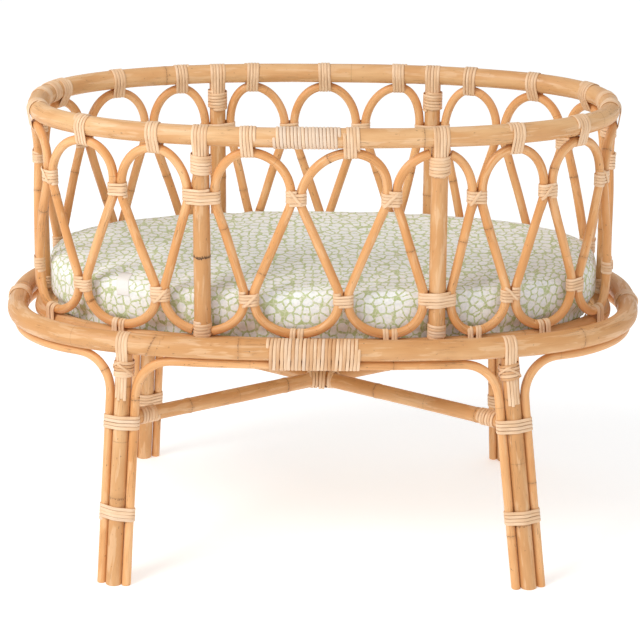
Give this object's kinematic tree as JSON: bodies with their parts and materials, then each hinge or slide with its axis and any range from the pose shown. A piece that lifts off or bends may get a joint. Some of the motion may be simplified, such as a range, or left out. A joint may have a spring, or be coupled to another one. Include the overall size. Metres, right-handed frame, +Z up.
{
  "type": "baby cradle",
  "caption": "Oval rattan baby cradle on fixed splayed legs, with looped cane walls between a thick rim and base hoop, strip lashings and a lift-out printed mattress.",
  "frame": {"origin": "on the floor, under the middle of the base hoop (centre of the bounding box, bottom)", "axes": "+X along the cradle's length to its right end, +Z up, the front faces -Y"},
  "size_m": [0.8624, 0.4642, 0.6167],
  "materials": {
    "rattan_pole": "satin natural rattan pole with its skin partly on",
    "rattan_cane": "satin peeled rattan cane",
    "binding": "flat binding cane strip",
    "slat_wood": "plain sawn slat",
    "screw_steel": "zinc plated",
    "printed_fabric": "matte printed cotton",
    "foam": "open cell foam",
    "label_fabric": "woven blank label"
  },
  "bodies": {
    "frame": {"arch_cane_back": "rattan_cane", "arch_cane_front": "rattan_cane", "arch_cane_left": "rattan_cane", "arch_cane_right": "rattan_cane", "base_end_wraps": "binding", "base_front_wrap": "binding", "base_hoop": "rattan_pole", "deck_rail_back": "rattan_pole", "deck_rail_front": "rattan_pole", "deck_screws": "screw_steel", "deck_slats": "slat_wood", "leg_back_left": "rattan_pole", "leg_back_right": "rattan_pole", "leg_front_left": "rattan_pole", "leg_front_right": "rattan_pole", "leg_head_wraps": "binding", "leg_hoop_straps": "binding", "leg_lower_bands": "binding", "leg_upper_bands": "binding", "loop_cane_back_centre": "rattan_cane", "loop_cane_front_centre": "rattan_cane", "loop_cane_left_back": "rattan_cane", "loop_cane_left_front": "rattan_cane", "loop_cane_right_back": "rattan_cane", "loop_cane_right_front": "rattan_cane", "loop_foot_lashings": "binding", "lower_lashings": "binding", "post_back_left": "rattan_pole", "post_back_right": "rattan_pole", "post_foot_wraps": "binding", "post_front_left": "rattan_pole", "post_front_right": "rattan_pole", "post_left_end": "rattan_pole", "post_right_end": "rattan_pole", "post_rim_straps": "binding", "post_top_wraps": "binding", "rim_corner_wrap": "binding", "rim_saddle_lashings": "binding", "rim_splice_wrap": "binding", "sill_ring": "rattan_pole", "stretcher_back": "rattan_pole", "stretcher_centre_lashing": "binding", "stretcher_end_wraps": "binding", "stretcher_front": "rattan_pole", "stretcher_long": "rattan_pole", "top_rim": "rattan_pole", "waist_lashings": "binding"},
    "mattress": {"mattress_cover": "printed_fabric", "mattress_foam": "foam", "mattress_label": "label_fabric"}
  },
  "joints": [
    {"name": "mattress_lift", "type": "slide", "parent": "frame", "child": "mattress", "axis": [0, 0, 1], "range_m": [0, 0.32]}
  ]
}
